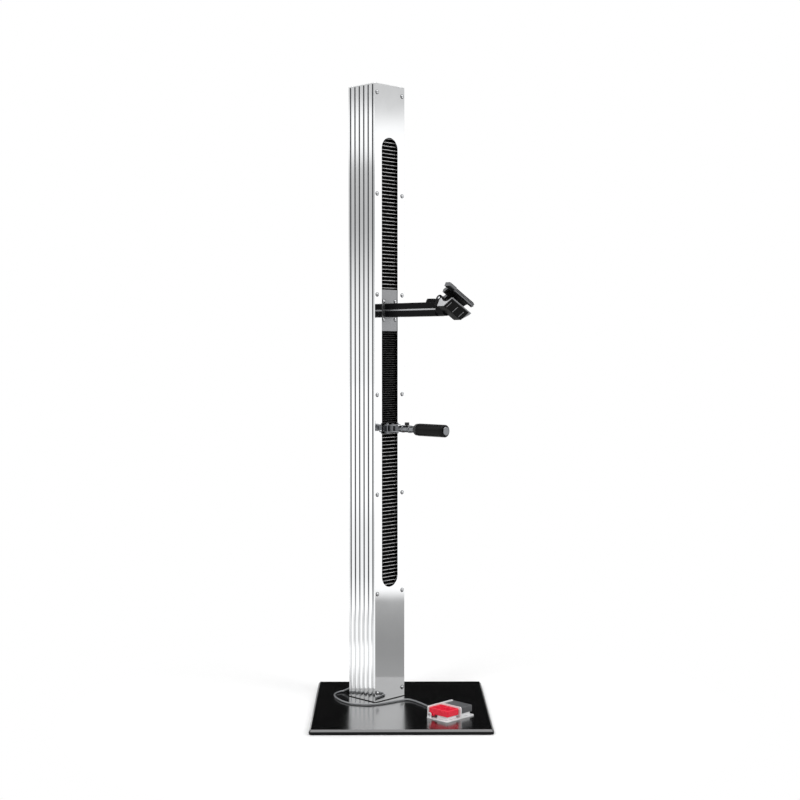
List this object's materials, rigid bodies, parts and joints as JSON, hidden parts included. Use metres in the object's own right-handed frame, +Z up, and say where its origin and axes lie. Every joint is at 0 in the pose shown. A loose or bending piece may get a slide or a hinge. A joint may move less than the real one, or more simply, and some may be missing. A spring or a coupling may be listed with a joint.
{
  "type": "bike lift repair stand",
  "caption": "Floor-standing electric lift stand: a slotted aluminium column on a steel plate carries a clamp arm and a support roller, raised by foot switch.",
  "frame": {"origin": "bottom centre of the base plate's box, on the floor", "axes": "+Z up; +X and +Y along the base plate's edges; the column is turned 45 degrees about Z, so its slotted face looks along +X and -Y"},
  "size_m": [0.56, 0.62, 2.0193],
  "materials": {
    "black_enamel": "gloss black enamel",
    "black_rubber": "matt black rubber",
    "brushed_aluminium": "brushed and clear anodised",
    "cast_aluminium": "satin, lightly blasted",
    "satin_black": "satin black coating",
    "bright_steel": "bright, ground",
    "bronze": "machined bearing bronze",
    "red_plastic": "glossy crimson",
    "grey_plastic": "satin dark grey",
    "black_plastic": "satin black",
    "light_grey_plastic": "satin light grey",
    "light_grey_paint": "light grey powder coat"
  },
  "bodies": {
    "column": {"rubber_mat": "black_rubber", "base_plate": "black_enamel", "foot_block": "cast_aluminium", "side_profile_left": "brushed_aluminium", "side_profile_right": "brushed_aluminium", "front_plate": "brushed_aluminium", "back_plate": "brushed_aluminium", "top_cap": "brushed_aluminium", "front_strip_left": "bright_steel", "front_strip_right": "bright_steel", "drive_block": "cast_aluminium", "head_block": "cast_aluminium", "guide_shaft_left": "bright_steel", "guide_shaft_right": "bright_steel", "screw_bearing_low": "bright_steel", "screw_bearing_top": "bright_steel", "motor_mount": "cast_aluminium", "gearbox": "cast_aluminium", "motor": "satin_black", "control_box": "grey_plastic", "power_entry": "black_plastic", "limit_switch_top": "black_plastic", "limit_switch_low": "black_plastic", "bellows_upper": "black_rubber", "bellows_lower": "black_rubber", "foot_guard": "light_grey_paint", "pedal_pin": "bright_steel", "red_switch_block": "light_grey_plastic", "grey_switch_block": "light_grey_plastic", "guard_gland": "black_plastic", "column_gland": "black_plastic", "foot_cable": "black_rubber"},
    "screw": {"lead_screw": "bright_steel", "shaft_coupling": "cast_aluminium"},
    "carriage": {"carriage_plate": "brushed_aluminium", "upper_bush_block": "cast_aluminium", "lower_bush_block": "cast_aluminium", "lift_nut": "bronze", "bellows_middle": "black_rubber", "arm_flange": "cast_aluminium", "arm_channel": "satin_black", "arm_cover": "satin_black", "lower_bracket": "bright_steel"},
    "clamp": {"clamp_head": "satin_black", "lower_jaw": "brushed_aluminium", "lower_jaw_cover": "black_rubber", "lower_jaw_pad": "black_rubber"},
    "jaw": {"upper_jaw": "cast_aluminium", "upper_jaw_pad": "black_rubber", "jaw_pin": "bright_steel"},
    "lever": {"clamp_lever": "satin_black"},
    "push_rod": {"clamp_rod": "bright_steel"},
    "rest": {"support_tube": "brushed_aluminium"},
    "rest_rod": {"support_rod": "brushed_aluminium"},
    "roller": {"support_roller": "black_rubber"},
    "rest_knob": {"support_knob": "black_plastic"},
    "stop_pedal": {"red_pedal": "red_plastic"},
    "lift_pedal": {"grey_pedal": "grey_plastic"},
    "rocker": {"power_rocker": "black_plastic"}
  },
  "joints": [
    {"name": "lift", "type": "slide", "parent": "column", "child": "carriage", "axis": [0, 0, 1], "range_m": [-0.31, 0.34], "deforming": ["bellows_upper", "bellows_lower"]},
    {"name": "screw_spin", "type": "hinge", "parent": "column", "child": "screw", "pos_m": [-0.08336, 0.11066, 0.5], "axis": [0, 0, 1], "range_deg": [-6980, 7656]},
    {"name": "head_turn", "type": "hinge", "parent": "carriage", "child": "clamp", "pos_m": [0.16342, -0.13612, 1.289], "axis": [0.7071, -0.7071, 0], "continuous": true},
    {"name": "jaw_open", "type": "hinge", "parent": "clamp", "child": "jaw", "pos_m": [0.13832, -0.09617, 1.30833], "axis": [-0.6214, -0.6214, 0.4772], "range_deg": [0, 35]},
    {"name": "lever_lift", "type": "hinge", "parent": "carriage", "child": "lever", "pos_m": [0.09271, -0.06541, 1.308], "axis": [-0.7071, -0.7071, 0], "range_deg": [0, 60]},
    {"name": "push_rod_slide", "type": "slide", "parent": "carriage", "child": "push_rod", "axis": [0.7071, -0.7071, 0], "range_m": [0, 0.012]},
    {"name": "rest_swing", "type": "hinge", "parent": "carriage", "child": "rest", "pos_m": [-0.02608, 0.05338, 0.9065], "axis": [0, 0, 1], "range_deg": [-35, 35]},
    {"name": "rest_extend", "type": "slide", "parent": "rest", "child": "rest_rod", "axis": [0.7071, -0.7071, 0], "range_m": [0, 0.045]},
    {"name": "roller_spin", "type": "hinge", "parent": "rest_rod", "child": "roller", "pos_m": [0.09908, -0.07178, 0.9065], "axis": [0.7071, -0.7071, 0], "continuous": true},
    {"name": "rest_knob_turn", "type": "hinge", "parent": "rest", "child": "rest_knob", "pos_m": [0.02059, 0.00671, 0.9065], "axis": [0, 0, 1], "range_deg": [0, 540]},
    {"name": "stop_pedal_press", "type": "hinge", "parent": "column", "child": "stop_pedal", "pos_m": [0.11092, -0.1562, 0.03], "axis": [0.7071, 0.7071, 0], "range_deg": [0, 4], "stiffness_Nm_per_rad": 12, "springref_deg": -1.15},
    {"name": "lift_pedal_press", "type": "hinge", "parent": "column", "child": "lift_pedal", "pos_m": [0.15547, -0.11165, 0.03], "axis": [0.7071, 0.7071, 0], "range_deg": [0, 4], "stiffness_Nm_per_rad": 12, "springref_deg": -1.15},
    {"name": "rocker_press", "type": "hinge", "parent": "column", "child": "rocker", "pos_m": [-0.12281, 0.15011, 0.083], "axis": [0.7071, 0.7071, 0], "range_deg": [0, 12]}
  ],
  "couplings": [
    {"joint": "screw_spin", "follows": "lift", "rad_per_m": 392.7},
    {"joint": "lever_lift", "follows": "jaw_open", "ratio": 1.7143},
    {"joint": "push_rod_slide", "follows": "jaw_open", "m_per_rad": 0.0195}
  ]
}
